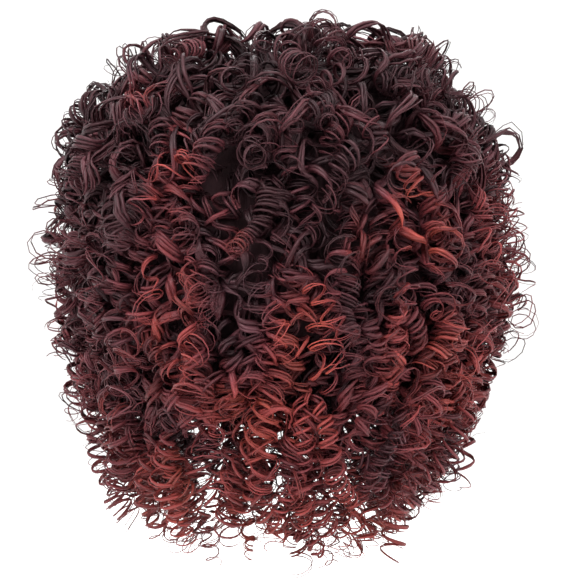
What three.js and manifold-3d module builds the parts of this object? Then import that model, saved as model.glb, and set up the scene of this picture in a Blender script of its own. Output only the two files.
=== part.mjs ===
// A curly shoulder-length wig as it is worn: an open stretch cap, and the ringlets that cover it.
// Millimetres. +Z is up, +Y is the way that the face looks and +X is the wearer's right.
// The origin is where the crown of the head seats, at the top of the hollow inside the cap.
import * as THREE from "three";
import { mergeVertices } from "three/addons/utils/BufferGeometryUtils.js";
import Module from "manifold-3d";

// The room inside for the head, jaw and neck
const headWidth = 150;
const headLength = 188;
const headHeight = 100; // from the widest level of the head up to the crown
const neckWidth = 138;
const neckLength = 156;

// The cap, and how far its rim drops below the crown
const capWall = 2;
const foreheadDrop = 60;
const templeDrop = 96;
const tabDrop = 138;
const earDrop = 120;
const napeDrop = 150;

// The hair as a whole
const hairRadius = 160; // from the middle of the head out to the tops of the curls
const curlDepth = 42; // from the tops of the curls in to the backing that they grow from
const whorlDepth = 20; // the same at the whorl, where the backing rises into a knoll
const whorlAngle = 34; // polar angle at which that knoll ends, in degrees
const rootAngle = 4; // polar angle at which the top row starts
const hemAngle = 150; // polar angle of the backing's lower end
const fringeAngle = 66; // polar angle of the fringe's lower end
const faceAngle = 44; // azimuth of the hair's edge beside the face
const sideAngle = 100; // azimuth at which a side section meets the back
const backAngle = 152; // azimuth at which the back's outer sections meet its middle

// One lock: a thick strand wound into a ringlet
const ringletRadius = 21;
const ringletPitch = 47;
const ringletLength = 104;
const strandRadius = 12.5;
const lockSpacing = 46; // from one lock to its neighbour in a row
const rowSpacing = 76; // from one row to the next, down the hair
const lockRise = 10; // how far the highest locks stand out past the lowest
const lockVariety = 0.12; // how much a lock's length varies, as a share of it
const lockSway = 0.3; // how far a lock bends aside, as a share of its section's width
const lastRow = 0.8; // how far above a section's end its last row starts, as a share of a row

const seatGap = 0.3; // clearance between pieces

const degree = Math.PI / 180;
const domeSides = 20;
const strandSides = 4;
const strandSteps = 5; // for each turn of a ringlet
const headMiddle = new THREE.Vector3(0, 0, -headHeight);

// The hair's outline: its radius ahead, to the right, behind and to the left, as shares of hairRadius
const outline = [
  { polar: 0, front: 0.95, right: 0.95, back: 0.95, left: 0.95 },
  { polar: 25, front: 0.97, right: 1.01, back: 1.0, left: 1.0 },
  { polar: 45, front: 0.97, right: 1.04, back: 1.03, left: 1.05 },
  { polar: 65, front: 0.93, right: 1.02, back: 1.03, left: 1.04 },
  { polar: 85, front: 0.9, right: 1.0, back: 1.02, left: 1.01 },
  { polar: 105, front: 0.92, right: 1.05, back: 1.03, left: 1.01 },
  { polar: 125, front: 1.0, right: 1.07, back: 1.09, left: 1.11 },
  { polar: 145, front: 1.1, right: 1.16, back: 1.24, left: 1.19 },
  { polar: 165, front: 1.18, right: 1.24, back: 1.36, left: 1.22 },
];

// A lock from its root to its tip: its thickness, and how far it has climbed from the backing to the top
const lockProfile = [
  { along: 0, thickness: 0.3, climb: 0 },
  { along: 0.25, thickness: 0.75, climb: 0.4 },
  { along: 0.5, thickness: 1, climb: 1 },
  { along: 0.8, thickness: 0.85, climb: 1 },
  { along: 1, thickness: 0.5, climb: 1 },
];

const outlineCurve = new THREE.CubicInterpolant(
  outline.map((row) => row.polar * degree),
  outline.flatMap((row) => [row.front, row.right, row.back, row.left]),
  4,
);
const lockCurve = new THREE.LinearInterpolant(
  lockProfile.map((row) => row.along),
  lockProfile.flatMap((row) => [row.thickness, row.climb]),
  2,
);

// The rim of the cap seen from the wearer's right: y as a share of the head's half length
const rim = [
  { along: -1.1, drop: napeDrop },
  { along: -0.45, drop: napeDrop },
  { along: -0.22, drop: earDrop },
  { along: 0.06, drop: earDrop },
  { along: 0.2, drop: tabDrop },
  { along: 0.36, drop: tabDrop },
  { along: 0.5, drop: templeDrop },
  { along: 0.7, drop: foreheadDrop },
  { along: 1.1, drop: foreheadDrop },
];

// The sections, each from one azimuth round to the next and from the whorl down to its own end
const sections = [
  { name: "fringe", from: -faceAngle, to: faceAngle, end: fringeAngle, colour: 0x3a1c22 },
  { name: "side_hair_right", from: faceAngle, to: sideAngle, end: hemAngle, colour: 0x7d2f2c },
  { name: "back_hair_right", from: sideAngle, to: backAngle, end: hemAngle, colour: 0x8a3530 },
  { name: "back_hair_middle", from: backAngle, to: 360 - backAngle, end: hemAngle, colour: 0x6e2630 },
  { name: "back_hair_left", from: 360 - backAngle, to: 360 - sideAngle, end: hemAngle, colour: 0x5a2230 },
  { name: "side_hair_left", from: 360 - sideAngle, to: 360 - faceAngle, end: hemAngle, colour: 0x6a2a30 },
];

const wasm = await Module();
wasm.setup();

// A closed geometry as a solid that can be cut and joined
function toSolid(geometry) {
  geometry.deleteAttribute("normal");
  geometry.deleteAttribute("uv");
  const merged = mergeVertices(geometry, 1e-4);
  const triVerts = new Uint32Array(merged.index.array);
  const vertProperties = new Float32Array(merged.attributes.position.array);
  return new wasm.Manifold(new wasm.Mesh({ numProp: 3, vertProperties, triVerts }));
}

function toGeometry(solid) {
  const { vertProperties, triVerts } = solid.getMesh();
  const geometry = new THREE.BufferGeometry();
  geometry.setAttribute("position", new THREE.BufferAttribute(vertProperties, 3));
  geometry.setIndex(new THREE.BufferAttribute(triVerts, 1));
  geometry.computeVertexNormals();
  return geometry;
}

// Joins solids, and fills the bubbles that close between them
function joined(solids) {
  const whole = solids.reduce((sum, solid) => sum.add(solid));
  const shells = whole.decompose().filter((shell) => shell.volume() > 0);
  return shells.reduce((sum, shell) => sum.add(shell));
}

// Moves each corner of a plain geometry to the place that a function gives for it
function bent(geometry, placeOf) {
  const corners = geometry.getAttribute("position");
  for (let i = 0; i < corners.count; i++) {
    const place = placeOf(new THREE.Vector3().fromBufferAttribute(corners, i));
    corners.setXYZ(i, place.x, place.y, place.z);
  }
  return geometry;
}

// Azimuth turns from +Y towards +X, and the polar angle runs down from +Z
function direction(azimuth, polar) {
  return new THREE.Vector3(
    Math.sin(polar) * Math.sin(azimuth),
    Math.sin(polar) * Math.cos(azimuth),
    Math.cos(polar),
  );
}

function outlineRadius(azimuth, polar) {
  const [front, right, back, left] = outlineCurve.evaluate(polar);
  const along = Math.cos(azimuth) > 0 ? front : back;
  const across = Math.sin(azimuth) > 0 ? right : left;
  return hairRadius * THREE.MathUtils.lerp(across, along, Math.cos(azimuth) ** 2);
}

// A point in the hair, so far in from the tops of the curls
function hairPoint(azimuth, polar, depth) {
  return direction(azimuth, polar)
    .multiplyScalar(outlineRadius(azimuth, polar) - depth)
    .add(headMiddle);
}

// How far in the backing's face lies
function backingDepth(polar) {
  return THREE.MathUtils.lerp(
    whorlDepth,
    curlDepth,
    THREE.MathUtils.smoothstep(polar, rootAngle * degree, whorlAngle * degree),
  );
}

// The dome of the head, grown by so much
function headDome(growth) {
  const dome = new THREE.SphereGeometry(1, domeSides, domeSides / 2);
  dome.rotateX(Math.PI / 2);
  dome.scale(headWidth / 2 + growth, headLength / 2 + growth, headHeight + growth);
  dome.translate(headMiddle.x, headMiddle.y, headMiddle.z);
  return toSolid(dome);
}

// What lies below the cap's rim, run from side to side
function belowRim() {
  const edge = new THREE.SplineCurve(
    rim.map((row) => new THREE.Vector2((row.along * headLength) / 2, -row.drop)),
  );
  const floor = -3 * headHeight;
  const points = edge.getPoints(rim.length * 3);
  const corners = [new THREE.Vector2(points.at(-1).x, floor), new THREE.Vector2(points[0].x, floor)];
  const width = headWidth * 1.5;
  const block = new THREE.ExtrudeGeometry(new THREE.Shape([...points, ...corners]), {
    depth: width,
    bevelEnabled: false,
  });
  // The drawing's x and y become Y and Z
  block.rotateX(Math.PI / 2);
  block.rotateZ(Math.PI / 2);
  block.translate(-width / 2, 0, 0);
  return toSolid(block);
}

function makeCap() {
  return headDome(capWall).subtract(headDome(0)).subtract(belowRim());
}

// The room that the head, the cap and the neck take out of the hair
function headRoom() {
  const drop = 3 * headHeight;
  const neck = new THREE.CylinderGeometry(1, 1, drop, domeSides);
  neck.rotateX(Math.PI / 2);
  neck.scale(neckWidth / 2, neckLength / 2, 1);
  neck.translate(headMiddle.x, headMiddle.y, headMiddle.z - drop / 2);
  return headDome(capWall + seatGap).add(toSolid(neck));
}

// The upright wedge that a section keeps to, half a gap inside its two edges
function sectionWedge({ from, to }) {
  const reach = 3 * hairRadius;
  const middle = ((from + to) / 2) * degree;
  const inset = seatGap / 2 / Math.sin(((to - from) / 2) * degree);
  const tip = new THREE.Vector2(Math.sin(middle), Math.cos(middle)).multiplyScalar(inset);
  const corners = [to, (from + to) / 2, from].map((azimuth) =>
    new THREE.Vector2(Math.sin(azimuth * degree), Math.cos(azimuth * degree)).multiplyScalar(reach).add(tip),
  );
  const wedge = new THREE.ExtrudeGeometry(new THREE.Shape([tip, ...corners]), {
    depth: 2 * reach,
    bevelEnabled: false,
  });
  wedge.translate(0, 0, -reach);
  return toSolid(wedge);
}

// A section's backing: a box whose x runs round the head, y up the hair and z outwards
function sectionBacking({ from, to, end }) {
  const acrossSteps = Math.ceil((to - from) / 15);
  const upSteps = Math.ceil(end / 15);
  const box = new THREE.BoxGeometry(1, 1, 1, acrossSteps, upSteps, 1);
  box.translate(0.5, 0.5, 0.5);
  bent(box, ({ x, y, z }) => {
    const polar = THREE.MathUtils.lerp(end, 0, y) * degree;
    const azimuth = THREE.MathUtils.lerp(to, from, x) * degree;
    const root = direction(azimuth, polar).multiplyScalar(headWidth / 2).add(headMiddle);
    return root.lerp(hairPoint(azimuth, polar, backingDepth(polar)), z);
  });
  return toSolid(box);
}

// One ringlet: a cylinder wound along a helix whose axis climbs out of the backing and runs down the hair
function lockSolid({ azimuthAt, start, span, phase, hand, rise }) {
  const turns = (span * hairRadius) / ringletPitch;
  const steps = Math.round(turns * strandSteps);

  function strandAt(share) {
    const azimuth = azimuthAt(share);
    const polar = start + span * share;
    const [thickness, climb] = lockCurve.evaluate(share);
    const rootDepth = backingDepth(polar) + strandRadius / 2;
    const depth = THREE.MathUtils.lerp(rootDepth, ringletRadius - rise, climb);
    const angle = phase + hand * 2 * Math.PI * turns * share;
    const outwards = direction(azimuth, polar);
    const sideways = new THREE.Vector3(Math.cos(azimuth), -Math.sin(azimuth), 0);
    const winding = (ringletRadius - strandRadius) * thickness;
    const middle = hairPoint(azimuth, polar, depth)
      .addScaledVector(outwards, winding * Math.cos(angle))
      .addScaledVector(sideways, winding * Math.sin(angle));
    return { outwards, middle, radius: strandRadius * thickness };
  }

  const tube = new THREE.CylinderGeometry(1, 1, 1, strandSides, steps);
  bent(tube, ({ x, y, z }) => {
    const share = 0.5 - y;
    const { outwards, radius, middle } = strandAt(share);
    const ahead = strandAt(share + 0.01).middle.sub(strandAt(share - 0.01).middle).normalize();
    const across = ahead.clone().cross(outwards).normalize();
    const upright = ahead.clone().cross(across);
    return middle.addScaledVector(across, x * radius).addScaledVector(upright, z * radius);
  });
  return toSolid(tube);
}

// A section's locks stand in rows, and each lock is kept between the section's two edges
function sectionLocks({ from, to, end }) {
  const random = THREE.MathUtils.seededRandom;
  random(from + 400);
  const first = rootAngle * degree;
  const rows = Math.round(((end * degree - first) * hairRadius) / rowSpacing);
  const rowStep = (end * degree - first) / (rows - 1 + lastRow);
  const middle = ((from + to) / 2) * degree;
  const reachAt = (polar) => outlineRadius(middle, polar) * Math.sin(polar);

  return Array.from({ length: rows }, (_, row) => {
    const start = first + row * rowStep;
    const width = (to - from) * degree * reachAt(start + rowStep / 2) - 2 * ringletRadius;
    const gaps = Math.max(0, Math.round(width / lockSpacing));
    return Array.from({ length: gaps + 1 }, (_, i) => {
      const share = gaps ? i / gaps : 0.5;
      const sway = (random() - 0.5) * lockSway;
      const span = (ringletLength / hairRadius) * (1 + (random() - 0.5) * lockVariety);
      const azimuthAt = (along) => {
        const reach = reachAt(start + span * along);
        const room = Math.min((ringletRadius - seatGap) / reach, ((to - from) / 2) * degree);
        const place = THREE.MathUtils.clamp(share + sway * Math.sin(Math.PI * along), 0, 1);
        return THREE.MathUtils.lerp(from * degree + room, to * degree - room, place);
      };
      const phase = random() * 2 * Math.PI;
      const hand = random() < 0.5 ? -1 : 1;
      return { azimuthAt, start, span, phase, hand, rise: random() * lockRise };
    });
  }).flat();
}

function makeSection(section) {
  return joined([sectionBacking(section), ...sectionLocks(section).map(lockSolid)])
    .intersect(sectionWedge(section))
    .subtract(headRoom());
}

function addPiece(group, name, solid, colour, roughness) {
  const material = new THREE.MeshStandardMaterial({ color: colour, roughness, metalness: 0 });
  const mesh = new THREE.Mesh(toGeometry(solid), material);
  mesh.name = name;
  group.add(mesh);
}

const wig = new THREE.Group();
addPiece(wig, "wig_cap", makeCap(), 0x1c1718, 0.9);
for (const section of sections) {
  addPiece(wig, section.name, makeSection(section), section.colour, 0.6);
}

export default wig;
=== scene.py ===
# A curly shoulder-length wig, dark at the crown and red towards the ends, held up as a head holds it.
# Metres, in the CAD frame: +Z up, +Y the way the face looks, +X the wearer's right.
import math

import bmesh
import bpy
import numpy as np
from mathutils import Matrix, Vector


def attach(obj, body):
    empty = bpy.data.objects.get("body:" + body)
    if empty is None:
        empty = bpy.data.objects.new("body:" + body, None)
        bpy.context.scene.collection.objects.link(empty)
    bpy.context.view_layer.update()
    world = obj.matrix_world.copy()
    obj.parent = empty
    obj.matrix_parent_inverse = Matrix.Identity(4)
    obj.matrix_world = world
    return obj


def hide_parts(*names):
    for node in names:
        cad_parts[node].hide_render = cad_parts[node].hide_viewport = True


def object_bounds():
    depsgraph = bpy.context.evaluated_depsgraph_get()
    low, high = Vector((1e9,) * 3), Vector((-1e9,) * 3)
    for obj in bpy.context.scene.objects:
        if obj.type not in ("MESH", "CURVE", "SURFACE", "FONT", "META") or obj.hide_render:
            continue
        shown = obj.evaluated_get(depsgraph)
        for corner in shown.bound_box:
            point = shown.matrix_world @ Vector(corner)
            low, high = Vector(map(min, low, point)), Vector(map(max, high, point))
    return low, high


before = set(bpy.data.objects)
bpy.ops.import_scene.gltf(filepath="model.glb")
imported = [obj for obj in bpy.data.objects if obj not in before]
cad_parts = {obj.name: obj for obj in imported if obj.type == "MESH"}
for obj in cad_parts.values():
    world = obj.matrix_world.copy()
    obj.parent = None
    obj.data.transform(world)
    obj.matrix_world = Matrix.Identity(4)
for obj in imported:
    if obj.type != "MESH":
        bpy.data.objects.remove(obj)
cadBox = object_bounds()

# The form that the hair follows, as in the CAD
wigForm = {
    "middle": np.array([0.0, 0.0, -0.100]),  # of the widest level of the head
    "headHalf": np.array([0.077, 0.096, 0.102]),  # half across, along and up, over the cap
    "neckHalf": np.array([0.069, 0.078]),
    "neckSlack": 0.24,  # curls may fill this share, and leave 105 by 119 mm free
    "jaw": -0.200,  # below it there is only the neck
    "radius": 0.160,
    "polar": [0, 25, 45, 65, 85, 105, 125, 145, 165],  # degrees down from the top, for the four rows below
    "front": [0.95, 0.97, 0.97, 0.93, 0.90, 0.92, 1.00, 1.10, 1.18],
    "right": [0.95, 1.01, 1.04, 1.02, 1.00, 1.05, 1.07, 1.16, 1.24],
    "back": [0.95, 1.00, 1.03, 1.03, 1.02, 1.03, 1.09, 1.24, 1.36],
    "left": [0.95, 1.00, 1.05, 1.04, 1.01, 1.01, 1.11, 1.19, 1.22],
    "underDepth": 0.040,  # of the dark hair, below the outline
    "crownRise": 0.012,  # less deep on top
    "hemDepth": 0.014,  # deeper towards the hem
    "crownFade": (0.25, 0.9),  # polar angles in radians, over which each of these two changes
    "hemFade": (1.6, 2.4),
    "hem": 141,  # where the dark hair ends, in degrees down from the top
    "fringeEnd": 62,  # the same over the face
    "faceEdge": (42, 47),  # azimuths between which the sides of the face opening run down
}


def smooth(value, low, high):
    share = np.clip((value - low) / (high - low), 0, 1)
    return share * share * (3 - 2 * share)


def unit(vectors):
    return vectors / np.maximum(np.linalg.norm(vectors, axis=-1, keepdims=True), 1e-9)


def direction(azimuth, polar):  # azimuth turns from the face (+Y) towards +X
    flat = np.sin(polar)
    return np.stack([flat * np.sin(azimuth), flat * np.cos(azimuth), np.cos(polar)], -1)


def anglesOf(points):
    away = points - wigForm["middle"]
    reach = np.linalg.norm(away, axis=-1)
    return np.arctan2(away[..., 0], away[..., 1]), np.arccos(np.clip(away[..., 2] / reach, -1, 1)), reach


def outlineRadius(azimuth, polar):
    drop = np.degrees(polar)
    sides = ("front", "right", "back", "left")
    front, right, back, left = (np.interp(drop, wigForm["polar"], wigForm[side]) for side in sides)
    along = np.where(np.cos(azimuth) > 0, front, back)
    across = np.where(np.sin(azimuth) > 0, right, left)
    return wigForm["radius"] * (across + (along - across) * np.cos(azimuth) ** 2)


def underDepth(polar):  # from the outline in to the dark hair that the locks grow from
    crown = 1 - smooth(polar, *wigForm["crownFade"])
    hem = smooth(polar, *wigForm["hemFade"])
    return wigForm["underDepth"] - wigForm["crownRise"] * crown + wigForm["hemDepth"] * hem


def roomRadius(azimuth, polar):  # of the head over its cap, and of the neck below it
    way = direction(azimuth, polar)
    head = 1 / np.linalg.norm(way / wigForm["headHalf"], axis=-1)
    neck = 1 / np.maximum(np.linalg.norm(way[..., :2] / wigForm["neckHalf"], axis=-1), 1e-6)
    return np.where(way[..., 2] < 0, np.maximum(head, neck), head)


def throughNeck(points):
    low = points[points[:, 2] < wigForm["jaw"]]
    return (np.linalg.norm(low[:, :2] / wigForm["neckHalf"], axis=1) < 1 - wigForm["neckSlack"]).any()


# Shader nodes: a wire is one output, and sums on wires add Math nodes

class Wire:
    def __init__(self, paint, socket):
        self.paint = paint
        self.socket = socket

    def calc(self, operation, first, second):
        return self.paint.node("ShaderNodeMath", {"operation": operation}, {0: first, 1: second})

    def __add__(self, other):
        return self.calc("ADD", self, other)

    def __sub__(self, other):
        return self.calc("SUBTRACT", self, other)

    def __rsub__(self, other):
        return self.calc("SUBTRACT", other, self)

    def __mul__(self, other):
        return self.calc("MULTIPLY", self, other)

    def __pow__(self, other):
        return self.calc("POWER", self, other)

    __radd__ = __add__
    __rmul__ = __mul__


class Paint:
    def __init__(self, name, **fixed):
        self.material = bpy.data.materials.new(name)
        self.material.use_nodes = True
        self.tree = self.material.node_tree
        self.shader = self.tree.nodes["Principled BSDF"]
        for socket, value in fixed.items():
            self.shader.inputs[socket].default_value = value

    def node(self, kind, settings=None, inputs=None, output=0):
        made = self.tree.nodes.new(kind)
        for name, value in (settings or {}).items():
            if name == "stops":
                self.setStops(made.color_ramp, value)
            else:
                setattr(made, name, value)
        for name, value in (inputs or {}).items():
            self.join(value, made.inputs[name])
        return Wire(self, made.outputs[output])

    def join(self, value, socket):
        if isinstance(value, Wire):
            self.tree.links.new(value.socket, socket)
        else:
            socket.default_value = value

    def setStops(self, ramp, stops):
        while len(ramp.elements) < len(stops):
            ramp.elements.new(0.5)
        for element, (place, colour) in zip(ramp.elements, stops):
            element.position = place
            element.color = (*colour, 1)

    def mixColours(self, share, first, second, how="MIX"):
        settings = {"data_type": "RGBA", "blend_type": how}
        return self.node("ShaderNodeMix", settings, {0: share, 6: first, 7: second}, 2)

    def feed(self, **inputs):
        for name, value in inputs.items():
            self.join(value, self.shader.inputs[name.replace("_", " ")])


# Camera: level with the middle of the hair, behind the head, on a long lens

cameraSettings = {
    "distance": 1.9,
    "acrossView": 0.394,  # of the picture, at the middle of the head
    "lookAt": (0.0034, 0.0, -0.1258),
    "elevation": 2.0,
    "sensor": 36,
}


def makeCamera(s):
    data = bpy.data.cameras.new("camera")
    data.sensor_width = s["sensor"]
    data.lens = s["sensor"] * s["distance"] / s["acrossView"]
    data.clip_end = 50
    camera = bpy.data.objects.new("camera", data)
    tilt = math.radians(s["elevation"])
    x, y, z = s["lookAt"]
    camera.location = (x, y - s["distance"] * math.cos(tilt), z + s["distance"] * math.sin(tilt))
    camera.rotation_euler = (math.pi / 2 - tilt, 0, 0)
    bpy.context.scene.collection.objects.link(camera)
    bpy.context.scene.camera = camera


def addObject(name, mesh, *materials):
    piece = bpy.data.objects.new(name, mesh)
    bpy.context.scene.collection.objects.link(piece)
    for material in materials:
        mesh.materials.append(material)
    return piece


mergeWithin = 1e-5  # corners of new pieces closer than this are one


def meshFrom(bm, name):
    mesh = bpy.data.meshes.new(name)
    bm.to_mesh(mesh)
    bm.free()
    mesh.shade_smooth()
    return mesh


makeCamera(cameraSettings)
print("camera set")


# Studio: a pale floor that turns up into a round wall, and wide soft lights

studioSettings = {
    "floor": -0.46,
    "floorRadius": 3.6,
    "turnUp": 1.2,  # radius of the curve between floor and wall
    "wallTop": 4.5,
    "shade": (0.94, 0.938, 0.935, 1),
    "sky": 1.1,
    "lights": [  # name, azimuth round the wig with 0 behind it, elevation, distance, width, power
        ("keyLight", -28, 42, 1.7, 0.8, 27),
        ("fillLight", 50, 26, 1.9, 1.3, 15),
        ("rightLight", 100, 12, 1.9, 1.2, 10),
        ("leftLight", -100, 12, 1.9, 1.2, 10),
        ("topLight", 0, 86, 1.6, 1.2, 16),
        ("faceLight", 180, 25, 2.0, 1.3, 16),
    ],
}


def makeStudio(s):
    bm = bmesh.new()
    turns = [math.radians(a) for a in range(0, 91, 9)]
    rim = [(s["floorRadius"] + s["turnUp"] * math.sin(a), s["turnUp"] * (1 - math.cos(a))) for a in turns]
    line = [(0, 0), (1.0, 0), *rim, (s["floorRadius"] + s["turnUp"], s["wallTop"])]
    points = [bm.verts.new((x, 0, s["floor"] + z)) for x, z in line]
    edges = [bm.edges.new(pair) for pair in zip(points, points[1:])]
    bmesh.ops.spin(
        bm, geom=points + edges, axis=(0, 0, 1), cent=(0, 0, 0), angle=2 * math.pi, steps=96, use_merge=True
    )
    bmesh.ops.remove_doubles(bm, verts=bm.verts, dist=mergeWithin)
    bmesh.ops.recalc_face_normals(bm, faces=bm.faces)
    pale = Paint("pale_floor", Roughness=0.9)
    pale.feed(Base_Color=s["shade"])
    addObject("studio_floor", meshFrom(bm, "studio_floor"), pale.material)

    for name, azimuth, elevation, distance, width, power in s["lights"]:
        data = bpy.data.lights.new(name, "AREA")
        data.shape = "DISK"
        data.size = width
        data.energy = power
        lamp = bpy.data.objects.new(name, data)
        turn, lift = math.radians(azimuth), math.radians(elevation)
        away = np.array([math.sin(turn) * math.cos(lift), -math.cos(turn) * math.cos(lift), math.sin(lift)])
        lamp.location = wigForm["middle"] + distance * away
        lamp.rotation_euler = (math.pi / 2 - lift, 0, turn)
        bpy.context.scene.collection.objects.link(lamp)

    world = bpy.data.worlds.new("studio")
    world.use_nodes = True
    world.node_tree.nodes["Background"].inputs["Color"].default_value = (1, 1, 1, 1)
    world.node_tree.nodes["Background"].inputs["Strength"].default_value = s["sky"]
    bpy.context.scene.world = world
    bpy.context.scene.view_settings.view_transform = "Standard"


makeStudio(studioSettings)
print("studio lit")


# Hair colour: the map holds the tone across and the redness up, so a strand reads a narrow column of it; the
# redness also carries painted shade

hairColours = {
    "ramp": [  # from near-black roots to copper ends
        (0.0, (0.014, 0.0052, 0.0070)),
        (0.22, (0.048, 0.0125, 0.0165)),
        (0.48, (0.100, 0.0180, 0.0215)),
        (0.76, (0.175, 0.0270, 0.0250)),
        (1.0, (0.280, 0.0480, 0.0330)),
    ],
    "paintedHighlight": (0.15, 0.066, 0.080),  # painted highlight: a mauve sheen colour for the palest strands near the crown
    "sheen": (1.0, 0.72, 0.76),
    "specular": 0.30,
    "roughness": 0.34,
    "dullness": 0.2,  # rougher than that between the single hairs
    "hairs": (420, 14, 1),  # how fine the single hairs of a strand are on the map
    "toneLight": (1.15, 0.42),  # how much the tone lightens a strand, and what it starts from
    "hairLight": (1.2, 0.40),
    "paintedHighlightFrom": 0.66,  # the tone from which strands take the painted mauve highlight, and the most they do
    "paintedHighlightMost": 0.5,
    "bump": 0.35,
    "bumpHeight": 0.0004,
}


def makeHairPaint(s):
    fixed = {"Specular IOR Level": s["specular"], "Specular Tint": (*s["sheen"], 1)}
    paint = Paint("curl_fibre", **fixed)
    place = paint.node("ShaderNodeUVMap", {"uv_map": "OFBake"})
    tone = paint.node("ShaderNodeSeparateXYZ", None, {0: place}, 0)
    redness = paint.node("ShaderNodeSeparateXYZ", None, {0: place}, 1)
    drawn = paint.node("ShaderNodeMapping", None, {"Vector": place, "Scale": s["hairs"]})
    streaks = {"Vector": drawn, "Scale": 1.0, "Detail": 2.0}
    hairs = paint.node("ShaderNodeTexNoise", {"noise_dimensions": "2D"}, streaks)
    colour = paint.node("ShaderNodeValToRGB", {"stops": s["ramp"]}, {"Fac": redness})
    (toneGain, toneBase), (hairGain, hairBase) = s["toneLight"], s["hairLight"]
    light = (tone * toneGain + toneBase) * (hairs * hairGain + hairBase)
    shade = paint.node("ShaderNodeCombineColor", None, {0: light, 1: light, 2: light})
    colour = paint.mixColours(1.0, colour, shade, "MULTIPLY")
    # Painted highlight: the palest, least red strands are mixed towards a mauve sheen colour
    paintedHighlightRange = {"Value": tone, "From Min": s["paintedHighlightFrom"], "From Max": 1.0, "To Max": s["paintedHighlightMost"]}
    pale = paint.node("ShaderNodeMapRange", None, paintedHighlightRange)
    colour = paint.mixColours(pale * (1 - redness), colour, (*s["paintedHighlight"], 1))
    relief = {"Height": hairs, "Strength": s["bump"], "Distance": s["bumpHeight"]}
    bump = paint.node("ShaderNodeBump", None, relief)
    paint.feed(Base_Color=colour, Roughness=s["roughness"] + s["dullness"] * (1 - hairs), Normal=bump)
    return paint.material


curlFibre = makeHairPaint(hairColours)


# Strands: flat three-sided ribbons, closed at both ends, joined into one mesh

strandMap = {
    "width": 0.03,  # of a strand on the map
    "jog": 0.0018,  # between its rings, so that no face is flat on the map
    "edge": 0.02,
}


def frameAlong(points, guide):
    ahead = unit(np.gradient(points, axis=0))
    outwards = unit(guide - ahead * (guide * ahead).sum(1, keepdims=True))
    return outwards, np.cross(ahead, outwards)


def strandMesh(name, strands):
    corners, faces, ends, places = [], [], [], []
    base = 0
    around = np.radians([0, 120, 240])
    near, far = np.arange(3), (np.arange(3) + 1) % 3
    for points, guide, width, thickness, tone, redness in strands:  # the guide is the way its flat side faces
        count = len(points)
        outwards, across = frameAlong(points, guide)
        high = np.cos(around)[None, :, None] * (outwards * thickness[:, None])[:, None]
        wide = np.sin(around)[None, :, None] * (across * width[:, None])[:, None]
        corners.append((points[:, None] + high + wide).reshape(-1, 3))
        row = np.arange(count - 1)[:, None] * 3 + base
        faces.append(np.stack([row + near, row + far, row + 3 + far, row + 3 + near], -1).reshape(-1, 4))
        last = base + (count - 1) * 3
        ends.append([[base, base + 2, base + 1], [last, last + 1, last + 2]])
        up = strandMap["edge"] + np.clip(redness, 0, 1) * (1 - 2 * strandMap["edge"])
        up = (up + strandMap["jog"] * (np.arange(count) % 2))[:, None] + strandMap["jog"] * np.array([1, 0, 0])
        over = strandMap["edge"] + np.clip(tone, 0, 1) * (1 - 2 * strandMap["edge"] - strandMap["width"])
        over = np.broadcast_to(over + strandMap["width"] * np.array([0.5, 1, 0]), (count, 3))
        places.append(np.stack([over, up], -1).reshape(-1, 2))
        base += count * 3
    corners, faces, ends = np.concatenate(corners), np.concatenate(faces), np.concatenate(ends)
    order = np.concatenate([faces.ravel(), ends.ravel()]).astype(np.int32)
    mesh = bpy.data.meshes.new(name)
    mesh.vertices.add(len(corners))
    mesh.vertices.foreach_set("co", corners.ravel())
    mesh.loops.add(len(order))
    mesh.loops.foreach_set("vertex_index", order)
    mesh.polygons.add(len(faces) + len(ends))
    starts = np.concatenate([np.arange(len(faces)) * 4, faces.size + np.arange(len(ends)) * 3])
    mesh.polygons.foreach_set("loop_start", starts.astype(np.int32))
    mesh.update(calc_edges=True)
    layer = mesh.uv_layers.new(name="OFBake")
    layer.uv.foreach_set("vector", np.concatenate(places)[order].ravel().astype(np.float32))
    mesh.shade_smooth()
    return mesh, 2 * len(faces) + len(ends)


# Locks: each has an axis that grows out of the dark hair below, climbs to the surface and falls along the form

growth = {
    "steps": 20,
    "turning": 0.42,  # of the way to where it wants to go, at each step
    "climb": 0.016,  # depth over which it levels out
    "push": (-1.3, 1.4),  # the hardest inwards and outwards, against one along the form
    "tumble": 0.42,
    "swing": (0.25, 0.75),  # of the tumble, in radians a step
    "flareFrom": (0.45, 0.85),  # shares of the steps over which a flare sets in
    "flareRoom": (-0.004, 0.006),  # depths between which a flare fades in
    "hangFrom": 1.2,  # polar angle from which it falls freely, and where it does so wholly
    "hangTo": 2.3,
    "hemFrom": 2.0,  # polar angle below which the hem can cut it
}
anyTurn = 6.3  # a start anywhere round a circle, in radians


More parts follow.
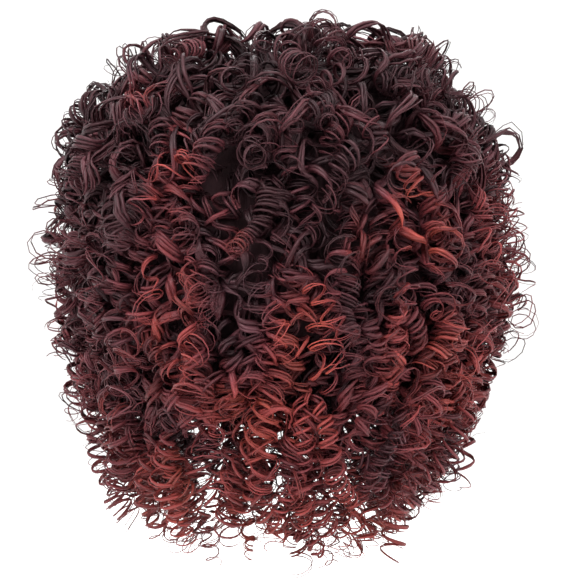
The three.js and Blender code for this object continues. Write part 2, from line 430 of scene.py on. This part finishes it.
def growAxes(rng, azimuth, polar, sink, reach, length, lean, flare, s):
    count = len(azimuth)
    up = np.array([0, 0, 1.0])
    spot = wigForm["middle"] + direction(azimuth, polar) * (outlineRadius(azimuth, polar) - sink)[:, None]
    heading = None
    axes, guides, beyond = [], [], []
    swing, start = rng.uniform(*s["swing"], (count, 3)), rng.uniform(0, anyTurn, (count, 3))
    for step in range(s["steps"] + 1):
        turn, drop, out = anglesOf(spot)
        outwards = direction(turn, drop)
        down = np.stack([np.cos(drop) * np.sin(turn), np.cos(drop) * np.cos(turn), -np.sin(drop)], -1)
        aside = np.stack([np.cos(turn), -np.sin(turn), np.zeros_like(turn)], -1)
        depth = outlineRadius(turn, drop) - out
        hang = smooth(drop, s["hangFrom"], s["hangTo"])[:, None]
        fall = unit(down * (1 - hang) - up * hang)
        late = smooth(step / s["steps"], *s["flareFrom"])
        push = np.clip((depth - reach) / s["climb"], *s["push"])
        push = push + flare * late * smooth(depth, *s["flareRoom"])
        level = outwards * (1 - hang * up)
        tumble = s["tumble"] * np.sin(swing * step + start)
        want = unit(fall + level * push[:, None] + aside * lean[:, None] + tumble)
        heading = want if heading is None else unit(heading + s["turning"] * (want - heading))
        axes.append(spot)
        guides.append(aside)
        beyond.append(np.where(drop > s["hemFrom"], -depth, -1))
        spot = spot + heading * (length / s["steps"])[:, None]
    return np.stack(axes, 1), np.stack(guides, 1), np.stack(beyond, 1)


winding = {
    "samples": 140,
    "coilBlend": 0.16,  # of the length, to either side of where a wave turns into a coil
    "tightenFrom": 0.6,
    "opening": (-0.1, 0.22),  # shares of the length over which it widens from its root
    "closeFrom": 0.7,
    "sway": 0.5,  # radians that the winding runs ahead and behind
    "swayRhythm": 0.7,  # against the rhythm of the radius, and the same for the pitch
    "pitchRhythm": 1.7,
    "pointRoom": 0.030,  # of the length, for each point besides those that the turns ask for
    "spread": (0.75, 0.25, 9),  # of a lock's ribbons: the mean, the swing and its rhythm
}


def windStrand(lock, bundle, s):
    share = np.linspace(0, 1, s["samples"])
    rest = np.linspace(0, 1, len(lock["axis"]))
    kept = share * bundle["kept"]
    centre = np.stack([np.interp(kept, rest, lock["axis"][:, i]) for i in range(3)], 1)
    side = np.stack([np.interp(kept, rest, lock["guide"][:, i]) for i in range(3)], 1)
    length = lock["length"] * bundle["kept"]
    first, second = frameAlong(centre, side)

    coiled = smooth(share, lock["coilFrom"] - s["coilBlend"], lock["coilFrom"] + s["coilBlend"])
    pitch = lock["wavePitch"] + (lock["coilPitch"] - lock["wavePitch"]) * coiled
    pitch = pitch * (1 - lock["tightening"] * smooth(share, s["tightenFrom"], 1.0))
    pitch = pitch * (1 + lock["uneven"] * np.sin(s["pitchRhythm"] * lock["rhythm"] * share - lock["phase"]))
    radius = lock["waveRadius"] + (lock["coilRadius"] - lock["waveRadius"]) * coiled
    uneven = 1 + lock["uneven"] * np.sin(lock["rhythm"] * share + lock["phase"])
    radius = radius * bundle["girth"] * uneven * smooth(share, *s["opening"])
    radius = radius * (1 - lock["closing"] * smooth(share, s["closeFrom"], 1.0))
    turns = np.concatenate([[0], np.cumsum(length / len(share) / pitch[1:])])
    sway = s["sway"] * np.sin(lock["rhythm"] * s["swayRhythm"] * share)
    angle = bundle["phase"] + lock["hand"] * 2 * math.pi * turns + sway

    # Points are spaced by the turns, and each is worked out anew, so that it lies on the curve
    measure = turns * lock["sides"] + share * length / s["pointRoom"]
    at = np.interp(np.linspace(0, measure[-1], int(measure[-1]) + 2), measure, share)
    angle, radius = np.interp(at, share, angle), np.interp(at, share, radius)
    centre, first, second = (
        np.stack([np.interp(at, share, v[:, i]) for i in range(3)], 1) for v in (centre, first, second)
    )
    radial = np.cos(angle)[:, None] * first + np.sin(angle)[:, None] * second
    points = centre + radius[:, None] * radial
    across = frameAlong(points, radial)[1]
    mean, swing, rhythm = s["spread"]
    spread = bundle["shift"] * (mean + swing * np.sin(rhythm * at + lock["phase"]))
    return points + across * spread[:, None], radial, at


# Redness: it rises down the wig, with red places and places of painted shade on the back, bands of red over
# the front, and painted shade deeper in the mass

redLocks = [  # on the back of the wig: across, height, half width, half height and strength
    (-0.095, 0.007, 0.012, 0.012, 0.5),
    (-0.070, -0.053, 0.016, 0.028, 0.8),
    (-0.043, -0.068, 0.012, 0.013, 0.7),
    (-0.032, -0.090, 0.011, 0.011, 0.8),
    (-0.073, -0.133, 0.021, 0.056, 0.78),
    (0.009, -0.163, 0.020, 0.052, 0.9),
    (-0.016, -0.204, 0.046, 0.025, 0.85),
    (0.087, -0.080, 0.024, 0.025, 1.0),
    (0.048, -0.092, 0.012, 0.025, 0.7),
    (0.099, -0.173, 0.045, 0.045, 0.65),
    (-0.061, -0.252, 0.040, 0.034, 0.7),
    (0.024, -0.279, 0.064, 0.028, 0.65),
    (0.145, -0.095, 0.024, 0.052, 0.5),
]
paintedShadePlaces = [  # the same for places of painted shade, in the gaps between clusters
    (-0.025, -0.122, 0.020, 0.034, 0.85),
    (0.048, -0.139, 0.018, 0.032, 0.6),
    (-0.030, -0.030, 0.050, 0.022, 0.5),
    (0.030, -0.055, 0.034, 0.030, 0.55),
    (-0.062, -0.012, 0.016, 0.016, 0.5),
    (-0.062, -0.206, 0.018, 0.016, 0.6),
    (0.064, -0.215, 0.016, 0.030, 0.5),
]
redFall = {
    "heights": [-0.30, -0.24, -0.18, -0.10, -0.02, 0.05],
    "redness": [0.62, 0.52, 0.38, 0.21, 0.13, 0.12],
    "edge": (0.45, 1.5),  # from a place's middle, in half sizes, over which it fades
    "front": (-0.03, 0.04),  # along the wig, where the places give way to the bands
    "bands": 0.8,
    "reddest": 0.92,
    "depths": (0.008, 0.028),  # below the outline, over which painted shade darkens the hair deep in the mass
    "paintedDepthShade": 0.55,
}


def rednessAndShadeAt(points, fit):
    x, y, z = points.T
    base = np.interp(z, redFall["heights"], redFall["redness"])
    locks, paintedShadeShare = np.zeros(len(points)), np.zeros(len(points))
    for places, share in ((redLocks, locks), (paintedShadePlaces, paintedShadeShare)):
        for across, height, halfWidth, halfHeight, strength in places:
            away = np.hypot((x - across) / halfWidth, (z - height) / halfHeight) * fit
            np.maximum(share, strength * (1 - smooth(away, *redFall["edge"])), out=share)
    behind = 1 - smooth(y, *redFall["front"])
    # Painted shade: the hair is darkened at those places on the back
    base = base * (1 - paintedShadeShare * behind)
    turn = np.arctan2(x, y)
    # Over the front, bands that wander round and down
    bands = np.sin(9 * turn + 3 * np.sin(40 * z)) * np.sin(55 * z + 5 * np.sin(4 * turn)) * (2 - fit)
    ahead = (1 - behind) * redFall["bands"] * smooth(bands, 0.1, 0.8) * smooth(-z, -0.01, 0.08)
    locks = behind * locks + ahead
    azimuth, polar, reach = anglesOf(points)
    # Painted shade: hair further in below the outline is darkened, as if shaded by the curls over it
    paintedDepthShare = smooth(outlineRadius(azimuth, polar) - reach, *redFall["depths"])
    return (base + (redFall["reddest"] - base) * locks) * (1 - redFall["paintedDepthShade"] * paintedDepthShare)


# Kinds of lock: the depth is where it levels out below the outline, coilFrom is a share of the length,
# and frizz is how many thin single hairs run along with its ribbons

lockKinds = {
    "wave": {  # of the crown: long loose arcs that end in a coil or two
        "length": (0.075, 0.125),
        "depth": (-0.003, 0.009),
        "coilRadius": (0.0060, 0.0095),
        "coilPitch": (0.012, 0.019),
        "waveRadius": (0.0065, 0.0120),
        "wavePitch": (0.045, 0.085),
        "coilFrom": (0.55, 0.95),
        "ribbons": (3, 4),
        "ribbonWidth": (0.0010, 0.0020),
        "frizz": 1,
        "lean": 0.42,
        "sides": 12,
    },
    "ringlet": {
        "length": (0.060, 0.100),
        "depth": (0.006, 0.020),
        "coilRadius": (0.0048, 0.0096),
        "coilPitch": (0.0105, 0.0180),
        "waveRadius": (0.0030, 0.0070),
        "wavePitch": (0.030, 0.055),
        "coilFrom": (0.20, 0.55),
        "ribbons": (2, 3),
        "ribbonWidth": (0.0008, 0.0017),
        "frizz": 1,
        "lean": 0.42,
        "sides": 11,
    },
    "hem": {  # ringlets that fill the lower edge, in from the outline too
        "length": (0.100, 0.165),
        "depth": (0.004, 0.055),
        "coilRadius": (0.0046, 0.0088),
        "coilPitch": (0.0100, 0.0175),
        "waveRadius": (0.0030, 0.0060),
        "wavePitch": (0.030, 0.050),
        "coilFrom": (0.15, 0.45),
        "ribbons": (1, 2),
        "ribbonWidth": (0.0008, 0.0016),
        "frizz": 1,
        "lean": 0.34,
        "sides": 11,
    },
    "inner": {  # broad loose waves close over the dark hair, that show in the gaps
        "length": (0.060, 0.100),
        "depth": (0.020, 0.031),
        "coilRadius": (0.0050, 0.0085),
        "coilPitch": (0.026, 0.042),
        "waveRadius": (0.0030, 0.0060),
        "wavePitch": (0.035, 0.060),
        "coilFrom": (0.05, 0.30),
        "ribbons": (4, 5),
        "ribbonWidth": (0.0013, 0.0024),
        "frizz": 0,
        "lean": 0.50,
        "sides": 9,
    },
    "stray": {  # single loops that stand out past the rest
        "length": (0.070, 0.105),
        "depth": (-0.006, 0.004),
        "coilRadius": (0.0058, 0.0105),
        "coilPitch": (0.012, 0.022),
        "waveRadius": (0.0040, 0.0080),
        "wavePitch": (0.030, 0.055),
        "coilFrom": (0.25, 0.60),
        "ribbons": (1, 1),
        "ribbonWidth": (0.0005, 0.0008),
        "frizz": 1,
        "lean": 0.55,
        "sides": 10,
    },
}
kindNumber = {kind: number for number, kind in enumerate(lockKinds)}

curlSettings = {
    "budget": 32500,  # rings of strand in a whole section
    "clusters": 100,
    "perCluster": 7,
    "clusterSpread": 0.066,  # radians
    "clusterDepth": 0.011,
    "clusterLean": 0.2,
    "firstRoots": 4,  # polar angle
    "leastPolar": 0.05,  # radians from the top that a lock keeps
    "poleRoom": 0.15,  # bounds the spread round the top
    "shoulderDepth": 0.012,  # how far in the locks stay between the crown and the widest level
    "shoulders": (14, 30, 62, 82),  # polar angles where that sets in, is whole, lessens and ends
    "hemAngle": 116,
    "hemClusters": 32,
    "overlap": 2.5,  # degrees, of a section over its neighbours
    "strays": 0.15,
    "inners": 0.26,
    "innerEnd": 128,
    "waveAngles": (34, 60),  # polar angles between which the waves give way to ringlets
    "flared": 0.45,  # the share of locks whose ends turn outwards
    "flare": (0.6, 2.2),
    "sideLift": 0.042,  # how much higher they end at the sides
    "tipRoom": (0.008, 0.046),  # how far past the hem the tips may hang
    "leastKept": 0.3,  # of a lock that the hem cuts
    "tone": (0.42, 0.15),  # mean and spread over the locks
    "strandTone": 0.13,  # spread within a lock
    "redder": 0.09,
    "looseFit": 0.22,  # how loosely the locks keep to the red and dark places
    "rootDark": 0.3,
    "rootEnd": (0.1, 0.5),  # shares of the length over which that ends
}
strandSettings = {
    "tipShare": (0.84, 1.0),  # of the lock's length that a strand reaches
    "ribbonGirth": (0.92, 1.08),
    "ribbonPhase": 0.22,
    "ribbonSpacing": 0.0014,
    "frizzGirth": (0.8, 1.25),
    "frizzPhase": 0.6,
    "frizzShift": 0.0018,
    "frizzWidth": (0.00032, 0.00050),
    "rootWidening": (-0.3, 0.15),
    "tipNarrowing": (0.82, 1.0),
    "tipNarrower": 0.7,
    "thinnest": 0.00022,  # of a ribbon, with a share of its width added
    "thickShare": 0.25,
}
lockTemper = {  # each lock's own values, drawn in this order
    "phase": (0, anyTurn),
    "closing": (0, 0.45),
    "rhythm": (6, 15),
    "uneven": (0.05, 0.35),
    "tightening": (0, 0.4),
}

sections = {  # azimuth from and to, polar angle of its last roots, and share of the rings
    "fringe": (-42, 42, 58, 0.46),
    "side_hair_right": (47, 100, 137, 0.76),
    "back_hair_right": (100, 152, 138, 1.0),
    "back_hair_middle": (152, 208, 138, 1.0),
    "back_hair_left": (208, 260, 138, 1.0),
    "side_hair_left": (260, 313, 137, 0.76),
}


# Nothing stands further out from the solids' box than a share of it and a few millimetres
boxLow, boxHigh = np.array(cadBox[0]), np.array(cadBox[1])
boxRoom = 0.03 * (boxHigh - boxLow) + 0.008
furthest = boxLow - boxRoom, boxHigh + boxRoom

tufts = {  # small groups of locks that stand up past the rest: azimuth, polar angle and depth
    "back_hair_left": [(240, 15, -0.009)],
    "back_hair_middle": [(176, 14, -0.006)],
}
tuftLocks = 4
tuftSpread = (0.1, 0.03)  # round and down

rootStep = 0.618034  # of a section's width from one root to the next, which never falls in step
rootJitter = 0.15


def rootSpots(rng, low, high, drops, count):  # even over the area between two polar angles
    start, end = np.cos(np.radians(drops))
    number = np.arange(count)
    polar = np.arccos(start + (end - start) * (number + rng.random(count)) / count)
    across = (number * rootStep + rootJitter * rng.random(count)) % 1
    return np.radians(low + (high - low) * across), polar


def plantLocks(rng, name, section, s):
    low, high, lowest, _ = section
    hem = s["hemAngle"]
    crowd = s["hemClusters"] if lowest > hem else 0  # the last clusters crowd towards the hem
    upper = (s["firstRoots"], min(lowest, hem))
    azimuth, polar = rootSpots(rng, low, high, upper, s["clusters"] - crowd)
    hemAzimuth, hemPolar = rootSpots(rng, low, high, (hem, lowest), crowd)
    azimuth, polar = np.concatenate([azimuth, hemAzimuth]), np.concatenate([polar, hemPolar])

    many = s["clusters"] * s["perCluster"]
    owner = np.tile(np.arange(s["clusters"]), s["perCluster"])
    spread = s["clusterSpread"]
    polar = np.clip(polar[owner] + rng.normal(0, spread, many), s["leastPolar"], math.radians(lowest))
    azimuth = azimuth[owner] + rng.normal(0, spread, many) / np.maximum(np.sin(polar), s["poleRoom"])
    azimuth = np.clip(azimuth, math.radians(low - s["overlap"]), math.radians(high + s["overlap"]))
    drop = np.degrees(polar)

    chance = rng.random(many)
    wavy = rng.random(many) < 1 - smooth(drop, *s["waveAngles"])
    kinds = np.where(wavy, kindNumber["wave"], kindNumber["ringlet"])
    kinds = np.where(drop > hem, kindNumber["hem"], kinds)
    kinds = np.where(chance < s["strays"], kindNumber["stray"], kinds)
    kinds = np.where((chance > 1 - s["inners"]) & (drop < s["innerEnd"]), kindNumber["inner"], kinds)
    ranges = list(lockKinds.values())
    picked = {}
    for key in ("length", "depth", "coilRadius", "coilPitch", "waveRadius", "wavePitch", "coilFrom"):
        bounds = np.array([kind[key] for kind in ranges])[kinds]
        picked[key] = bounds[:, 0] + (bounds[:, 1] - bounds[:, 0]) * rng.random(many)

    sag = s["clusterDepth"] * rng.random(s["clusters"])[owner] * (kinds == kindNumber["ringlet"])
    setIn, whole, lessen, end = s["shoulders"]
    shoulder = smooth(drop, setIn, whole) * (1 - smooth(drop, lessen, end))
    sag = sag + s["shoulderDepth"] * shoulder * (kinds != kindNumber["inner"])
    lean = np.array([kind["lean"] for kind in ranges])[kinds] * rng.normal(0, 1, many)
    lean = lean + rng.normal(0, s["clusterLean"], s["clusters"])[owner]
    flare = np.where(rng.random(many) < s["flared"], rng.uniform(*s["flare"], many), 0)
    for row, (turn, fromTop, depth) in enumerate(tufts.get(name, [])):
        those = slice(row * tuftLocks, (row + 1) * tuftLocks)
        azimuth[those] = math.radians(turn) + rng.normal(0, tuftSpread[0], tuftLocks)
        polar[those] = math.radians(fromTop) + rng.normal(0, tuftSpread[1], tuftLocks)
        kinds[those], picked["depth"][those] = kindNumber["ringlet"], depth
    reach = picked["depth"] + sag
    grown = growAxes(rng, azimuth, polar, underDepth(polar), reach, picked["length"], lean, flare, growth)
    return owner, kinds, picked, grown


def drawBundle(rng, phase, kept, offset, s):  # the offset is none for a thin single hair
    part = "frizz" if offset is None else "ribbon"
    return {
        "kept": kept * rng.uniform(*s["tipShare"]),
        "girth": rng.uniform(*s[part + "Girth"]),
        "phase": phase + rng.normal(0, s[part + "Phase"]),
        "shift": rng.normal(0, s["frizzShift"]) if offset is None else s["ribbonSpacing"] * offset,
    }


def strandWidth(at, width, s):
    return width * smooth(at, *s["rootWidening"]) * (1 - s["tipNarrower"] * smooth(at, *s["tipNarrowing"]))


def makeCurls(name, section, s, strand, seed):
    rng = np.random.default_rng(seed)
    owner, kinds, picked, (axes, guides, beyond) = plantLocks(rng, name, section, s)
    strands, used, locks = [], 0, 0
    limit = s["budget"] * section[3]
    for i in range(len(owner)):  # a lock from each cluster in turn
        own = list(lockKinds.values())[kinds[i]]
        lock = {key: values[i] for key, values in picked.items()}
        lock.update(axis=axes[i], guide=guides[i], sides=own["sides"], hand=rng.choice([-1, 1]))
        lock.update((key, rng.uniform(*bounds)) for key, bounds in lockTemper.items())
        aside = abs(axes[i][-1][0]) / wigForm["radius"]
        outside = np.nonzero(beyond[i] > rng.uniform(*s["tipRoom"]) - s["sideLift"] * aside)[0]
        kept = max(outside[0] / growth["steps"], s["leastKept"]) if len(outside) else 1.0
        tone, redder = rng.normal(*s["tone"]), rng.normal(0, s["redder"])
        fit = np.exp(rng.normal(0, s["looseFit"]))
        ribbons = rng.integers(*own["ribbons"], endpoint=True)
        for j in range(ribbons + own["frizz"]):
            frizz = j >= ribbons
            offset = None if frizz else j - (ribbons - 1) / 2
            bundle = drawBundle(rng, lock["phase"], kept, offset, strand)
            points, radial, at = windStrand(lock, bundle, winding)
            if (points < furthest[0]).any() or (points > furthest[1]).any() or throughNeck(points):
                continue
            width = rng.uniform(*(strand["frizzWidth"] if frizz else own["ribbonWidth"]))
            width = strandWidth(at, width, strand)
            flat = np.minimum(width, strand["thinnest"] + strand["thickShare"] * width)
            roots = s["rootDark"] * (1 - smooth(at, *s["rootEnd"]))
            redness = rednessAndShadeAt(points, fit) + redder - roots
            shade = tone + rng.normal(0, s["strandTone"])
            strands.append((points, radial, width, width if frizz else flat, shade, redness))
            used += len(points)
        locks += 1
        if used > limit:
            break
    mesh, triangles = strandMesh(name, strands)
    piece = addObject(f"{name}_curls", mesh, curlFibre)
    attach(piece, "root")
    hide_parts(name)
    print(f"{name}: {locks} locks of {len(owner)}, {len(strands)} strands, {triangles} triangles")
    return triangles


firstSeed = 20
total = 0
for i, (name, section) in enumerate(sections.items()):
    total += makeCurls(name, section, curlSettings, strandSettings, firstSeed + i)
print(f"curls made, {total} triangles")


# Under hair: the dark mass close to the cap that shows between the curls

underSettings = {
    "around": 96,
    "down": 40,
    "swell": 0.003,
    "swellWaves": (14, 9),  # round the head, and down it for each radian
    "leastWall": 0.006,
    "clearance": 0.0012,  # from the room for the head and neck
    "roughness": 0.8,
    "specular": 0.08,
    "streaks": (260, 260, 30),
    "bump": 0.8,
    "bumpHeight": 0.002,
    "shade": (0.009, 0.0050, 0.0056, 1),
    "streak": (0.030, 0.0125, 0.0150, 1),
}


def underEnd(azimuth):  # where it ends, in degrees down from the top
    face = 1 - smooth(np.abs(np.degrees(azimuth)), *wigForm["faceEdge"])
    ragged = 2.5 * np.sin(9 * azimuth + 1) + 1.8 * np.sin(23 * azimuth)
    return wigForm["hem"] + ragged + (wigForm["fringeEnd"] - wigForm["hem"]) * face


def makeUnderHair(s):
    turns, dips = s["swellWaves"]
    bm = bmesh.new()
    bmesh.ops.create_grid(bm, x_segments=s["around"], y_segments=s["down"], size=1)
    for corner in bm.verts:
        azimuth = -corner.co.x * math.pi
        polar = math.radians(underEnd(azimuth)) * (0.5 - corner.co.y / 2)
        reach = float(outlineRadius(azimuth, polar) - underDepth(polar))
        reach += s["swell"] * math.sin(turns * azimuth) * math.sin(polar * dips)
        reach = max(reach, float(roomRadius(azimuth, polar)) + s["leastWall"])
        corner.co = wigForm["middle"] + direction(azimuth, polar) * reach
    bmesh.ops.remove_doubles(bm, verts=bm.verts, dist=mergeWithin)
    made = bmesh.ops.extrude_face_region(bm, geom=list(bm.faces), use_keep_orig=True)
    for corner in (item for item in made["geom"] if isinstance(item, bmesh.types.BMVert)):
        azimuth, polar, _ = (float(v) for v in anglesOf(np.array(corner.co)))
        inner = float(roomRadius(azimuth, polar)) + s["clearance"]
        corner.co = wigForm["middle"] + direction(azimuth, polar) * inner
    bmesh.ops.recalc_face_normals(bm, faces=bm.faces)
    paint = Paint("under_hair", Roughness=s["roughness"], **{"Specular IOR Level": s["specular"]})
    place = paint.node("ShaderNodeTexCoord", None, None, "Object")
    streaks = paint.node("ShaderNodeMapping", None, {"Vector": place, "Scale": s["streaks"]})
    noise = paint.node("ShaderNodeTexNoise", None, {"Vector": streaks, "Scale": 1.0, "Detail": 3.0})
    colour = paint.mixColours(noise, s["shade"], s["streak"])
    relief = {"Height": noise, "Strength": s["bump"], "Distance": s["bumpHeight"]}
    bump = paint.node("ShaderNodeBump", None, relief)
    paint.feed(Base_Color=colour, Normal=bump)
    piece = addObject("under_hair", meshFrom(bm, "under_hair"), paint.material)
    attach(piece, "root")


makeUnderHair(underSettings)
print("under hair made")


# Cap: a thin net dome with rows of weft, open below, whose rim dips at the nape and in front of the ears

capSettings = {
    "inner": np.array([0.075, 0.094, 0.100]),
    "wall": 0.002,
    "around": 112,
    "down": 44,
    "along": [-1.1, -0.45, -0.22, 0.06, 0.2, 0.36, 0.5, 0.7, 1.1],  # back to front, in half lengths
    "drop": [0.150, 0.150, 0.120, 0.120, 0.138, 0.138, 0.096, 0.060, 0.060],  # of the rim at each of these
    "rows": 26,  # of weft
    "threads": 150,
    "bump": 0.6,
    "bumpHeight": 0.0006,
    "roughness": 0.75,
    "specular": 0.2,
    "net": (0.016, 0.012, 0.014, 1),
    "weft": (0.050, 0.030, 0.036, 1),
    "holes": (0.004, 0.003, 0.004, 1),
}


def domePoint(azimuth, tilt, half):
    return wigForm["middle"] + half * direction(azimuth, tilt)


def rimTilt(azimuth, s):
    low, high = 0.3, math.pi - 0.05
    for _ in range(24):  # halves its way to where the dome meets the rim
        tilt = (low + high) / 2
        point = domePoint(azimuth, tilt, s["inner"])
        above = point[2] > -np.interp(point[1] / s["inner"][1], s["along"], s["drop"])
        low, high = (tilt, high) if above else (low, tilt)
    return low


def makeCap(s):
    bm = bmesh.new()
    bmesh.ops.create_grid(bm, x_segments=s["around"], y_segments=s["down"], size=1)
    tilts = {}
    for corner in bm.verts:
        azimuth = -corner.co.x * math.pi
        key = round(corner.co.x, 5)
        tilts[key] = tilts.get(key) or rimTilt(azimuth, s)
        corner.co = domePoint(azimuth, tilts[key] * (0.5 - corner.co.y / 2), s["inner"] + s["wall"])
    bmesh.ops.remove_doubles(bm, verts=bm.verts, dist=mergeWithin)
    made = bmesh.ops.extrude_face_region(bm, geom=list(bm.faces), use_keep_orig=True)
    for corner in (item for item in made["geom"] if isinstance(item, bmesh.types.BMVert)):
        away = np.array(corner.co) - wigForm["middle"]
        corner.co = wigForm["middle"] + away * s["inner"] / (s["inner"] + s["wall"])
    bmesh.ops.recalc_face_normals(bm, faces=bm.faces)
    paint = Paint("cap_net", Roughness=s["roughness"], **{"Specular IOR Level": s["specular"]})
    place = paint.node("ShaderNodeTexCoord", None, None, "Object")
    waves = {"wave_type": "BANDS", "bands_direction": "Z"}
    banding = {"Vector": place, "Scale": s["rows"], "Distortion": 0.6, "Detail": 1.0}
    rows = paint.node("ShaderNodeTexWave", waves, banding, "Fac")
    slant = {"wave_type": "BANDS", "bands_direction": "DIAGONAL"}
    threads = paint.node("ShaderNodeTexWave", slant, {"Vector": place, "Scale": s["threads"]}, "Fac")
    turned = paint.node("ShaderNodeMapping", None, {"Vector": place, "Scale": (-1, -1, 1)})
    crossing = paint.node("ShaderNodeTexWave", slant, {"Vector": turned, "Scale": s["threads"]}, "Fac")
    weave = paint.node("ShaderNodeMath", {"operation": "MAXIMUM"}, {0: threads, 1: crossing})
    colour = paint.mixColours(rows**4, s["net"], s["weft"])
    colour = paint.mixColours(weave, s["holes"], colour)
    relief = {"Height": weave + rows * 2, "Strength": s["bump"], "Distance": s["bumpHeight"]}
    bump = paint.node("ShaderNodeBump", None, relief)
    paint.feed(Base_Color=colour, Normal=bump)
    piece = addObject("net_cap", meshFrom(bm, "net_cap"), paint.material)
    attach(piece, "root")
    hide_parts("wig_cap")


makeCap(capSettings)
print("cap made")
